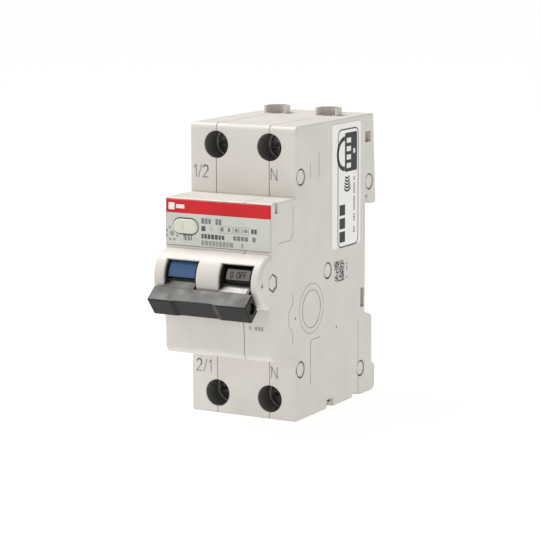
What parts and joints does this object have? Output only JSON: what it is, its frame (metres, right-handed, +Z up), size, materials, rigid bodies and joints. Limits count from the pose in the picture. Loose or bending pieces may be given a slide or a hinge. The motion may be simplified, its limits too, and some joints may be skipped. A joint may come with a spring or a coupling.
{
  "type": "residual current device",
  "caption": "Two-module residual current circuit breaker for a DIN rail, with a linked double toggle, test button and lift-cage screw terminals.",
  "frame": {"origin": "middle of the rail seat: the rear plane that bears on the rail's front, half-way across the width, at the rail's centre line", "axes": "+X right as seen from the front, -Y out of the operating side and +Y into the rail, +Z up"},
  "size_m": [0.0351, 0.0773, 0.0878],
  "materials": {
    "housing_plastic": "fine satin moulded plastic",
    "label_plastic": "satin printed plate",
    "guide_black": "black moulded plastic",
    "sticker_film": "smooth label film",
    "toggle_plastic": "dark semi-gloss plastic",
    "flag_blue": "blue plastic",
    "button_plastic": "light semi-gloss plastic",
    "clip_plastic": "satin moulded plastic",
    "screw_steel": "zinc-plated steel",
    "cage_steel": "bright zinc-plated steel",
    "bright_steel": "plain steel",
    "spring_steel": "spring wire",
    "copper": "copper strip",
    "winding_copper": "enamelled copper wire",
    "bobbin_plastic": "black moulded plastic",
    "fibre_board": "pressed fibre",
    "core_black": "coated core",
    "relay_plastic": "relay case",
    "board_green": "glass-epoxy board",
    "component_black": "component bodies",
    "resistor_blue": "lacquered resistor"
  },
  "bodies": {
    "housing": {"arc_chute_frame": "fibre_board", "arc_plates": "bright_steel", "bimetal_foot": "copper", "bimetal_strip": "bright_steel", "board_components": "component_black", "centre_housing": "housing_plastic", "circuit_board": "board_green", "clip_springs": "spring_steel", "closing_pins": "housing_plastic", "coil_bobbin": "bobbin_plastic", "contact_axle": "bright_steel", "label_plate": "label_plastic", "left_cover": "housing_plastic", "magnet_yoke": "bright_steel", "magnetic_coil": "winding_copper", "neutral_bottom_busbar": "copper", "neutral_fixed_contact": "copper", "neutral_top_busbar": "copper", "phase_bottom_busbar": "copper", "phase_fixed_contact": "copper", "phase_top_busbar": "copper", "plunger_spring": "spring_steel", "relay_case": "relay_plastic", "right_cover": "housing_plastic", "screw_guides": "guide_black", "side_sticker": "sticker_film", "test_contact": "copper", "test_resistor": "resistor_blue", "test_spring": "spring_steel", "toggle_axle": "housing_plastic", "transformer_core": "core_black", "transformer_windings": "winding_copper", "trip_axle": "bright_steel"},
    "toggle": {"toggle_left": "toggle_plastic", "toggle_right": "toggle_plastic", "handle_bar": "toggle_plastic", "handle_pin": "toggle_plastic", "position_plate": "toggle_plastic"},
    "fault_flag": {"fault_flag": "flag_blue"},
    "test_button": {"test_button": "button_plastic"},
    "phase_contact": {"phase_contact_carrier": "bobbin_plastic", "phase_moving_contact": "copper"},
    "neutral_contact": {"neutral_contact_carrier": "bobbin_plastic", "neutral_moving_contact": "copper"},
    "phase_link": {"phase_link": "bright_steel"},
    "neutral_link": {"neutral_link": "bright_steel"},
    "trip_lever": {"trip_lever": "bobbin_plastic"},
    "relay_pin": {"relay_pin": "bright_steel"},
    "magnet_plunger": {"magnet_plunger": "bright_steel"},
    "trip_slide": {"trip_slide": "fibre_board"},
    "left_din_clip": {"left_din_clip": "clip_plastic"},
    "right_din_clip": {"right_din_clip": "clip_plastic"},
    "phase_top_screw": {"phase_top_screw": "screw_steel"},
    "phase_top_cage": {"phase_top_cage": "cage_steel"},
    "phase_bottom_screw": {"phase_bottom_screw": "screw_steel"},
    "phase_bottom_cage": {"phase_bottom_cage": "cage_steel"},
    "neutral_top_screw": {"neutral_top_screw": "screw_steel"},
    "neutral_top_cage": {"neutral_top_cage": "cage_steel"},
    "neutral_bottom_screw": {"neutral_bottom_screw": "screw_steel"},
    "neutral_bottom_cage": {"neutral_bottom_cage": "cage_steel"}
  },
  "joints": [
    {"name": "toggle_switch", "type": "hinge", "parent": "housing", "child": "toggle", "pos_m": [0, -0.0577, 0.0002], "axis": [-1, 0, 0], "range_deg": [0, 46]},
    {"name": "fault_flag_turn", "type": "hinge", "parent": "toggle", "child": "fault_flag", "pos_m": [0, -0.0577, 0.0002], "axis": [-1, 0, 0], "range_deg": [0, 27]},
    {"name": "test_button_press", "type": "slide", "parent": "housing", "child": "test_button", "axis": [0, 1, 0], "range_m": [0, 0.0012], "stiffness_N_per_m": 400, "springref_m": -0.002, "deforming": ["test_spring"]},
    {"name": "phase_contact_turn", "type": "hinge", "parent": "housing", "child": "phase_contact", "pos_m": [-0.00845, -0.045, -0.003], "axis": [1, 0, 0], "range_deg": [0, 16.1]},
    {"name": "phase_link_turn", "type": "hinge", "parent": "toggle", "child": "phase_link", "pos_m": [-0.00845, -0.0533, 0.0016], "axis": [1, 0, 0], "range_deg": [0, 72]},
    {"name": "neutral_contact_turn", "type": "hinge", "parent": "housing", "child": "neutral_contact", "pos_m": [0.0094, -0.045, -0.003], "axis": [1, 0, 0], "range_deg": [0, 16.1]},
    {"name": "neutral_link_turn", "type": "hinge", "parent": "toggle", "child": "neutral_link", "pos_m": [0.0094, -0.0533, 0.0016], "axis": [1, 0, 0], "range_deg": [0, 72]},
    {"name": "trip_lever_turn", "type": "hinge", "parent": "housing", "child": "trip_lever", "pos_m": [0, -0.0422, 0.0178], "axis": [-1, 0, 0], "range_deg": [0, 10], "stiffness_Nm_per_rad": 0.0005, "springref_deg": -11.46},
    {"name": "relay_pin_push", "type": "slide", "parent": "housing", "child": "relay_pin", "axis": [0, -1, 0], "range_m": [0, 0.002], "stiffness_N_per_m": 100, "springref_m": -0.001},
    {"name": "magnet_plunger_push", "type": "slide", "parent": "housing", "child": "magnet_plunger", "axis": [0, -1, 0], "range_m": [0, 0.002], "stiffness_N_per_m": 150, "springref_m": -0.001, "deforming": ["plunger_spring"]},
    {"name": "trip_slide_push", "type": "slide", "parent": "housing", "child": "trip_slide", "axis": [0, -1, 0], "range_m": [0, 0.0012]},
    {"name": "left_din_clip_pull", "type": "slide", "parent": "housing", "child": "left_din_clip", "axis": [0, 0, -1], "range_m": [0, 0.0026], "stiffness_N_per_m": 1500, "springref_m": -0.003, "deforming": ["clip_springs"]},
    {"name": "right_din_clip_pull", "type": "slide", "parent": "housing", "child": "right_din_clip", "axis": [0, 0, -1], "range_m": [0, 0.0026], "stiffness_N_per_m": 1500, "springref_m": -0.003, "deforming": ["clip_springs"]},
    {"name": "phase_top_screw_turn", "type": "hinge", "parent": "housing", "child": "phase_top_screw", "pos_m": [-0.00875, -0.035, 0.0367], "axis": [0, 1, 0], "range_deg": [0, 2160]},
    {"name": "phase_top_cage_lift", "type": "slide", "parent": "housing", "child": "phase_top_cage", "axis": [0, -1, 0], "range_m": [0, 0.0048]},
    {"name": "phase_bottom_screw_turn", "type": "hinge", "parent": "housing", "child": "phase_bottom_screw", "pos_m": [-0.00875, -0.035, -0.0367], "axis": [0, 1, 0], "range_deg": [0, 2160]},
    {"name": "phase_bottom_cage_lift", "type": "slide", "parent": "housing", "child": "phase_bottom_cage", "axis": [0, -1, 0], "range_m": [0, 0.0048]},
    {"name": "neutral_top_screw_turn", "type": "hinge", "parent": "housing", "child": "neutral_top_screw", "pos_m": [0.00875, -0.035, 0.0367], "axis": [0, 1, 0], "range_deg": [0, 2160]},
    {"name": "neutral_top_cage_lift", "type": "slide", "parent": "housing", "child": "neutral_top_cage", "axis": [0, -1, 0], "range_m": [0, 0.0048]},
    {"name": "neutral_bottom_screw_turn", "type": "hinge", "parent": "housing", "child": "neutral_bottom_screw", "pos_m": [0.00875, -0.035, -0.0367], "axis": [0, 1, 0], "range_deg": [0, 2160]},
    {"name": "neutral_bottom_cage_lift", "type": "slide", "parent": "housing", "child": "neutral_bottom_cage", "axis": [0, -1, 0], "range_m": [0, 0.0048]}
  ],
  "couplings": [
    {"joint": "phase_contact_turn", "follows": "toggle_switch", "ratio": 0.348},
    {"joint": "phase_link_turn", "follows": "toggle_switch", "ratio": 1.561},
    {"joint": "neutral_contact_turn", "follows": "toggle_switch", "ratio": 0.348},
    {"joint": "neutral_link_turn", "follows": "toggle_switch", "ratio": 1.561},
    {"joint": "phase_top_screw_turn", "follows": "phase_top_cage_lift", "rad_per_m": 7853.9},
    {"joint": "phase_bottom_screw_turn", "follows": "phase_bottom_cage_lift", "rad_per_m": 7853.9},
    {"joint": "neutral_top_screw_turn", "follows": "neutral_top_cage_lift", "rad_per_m": 7853.9},
    {"joint": "neutral_bottom_screw_turn", "follows": "neutral_bottom_cage_lift", "rad_per_m": 7853.9}
  ]
}
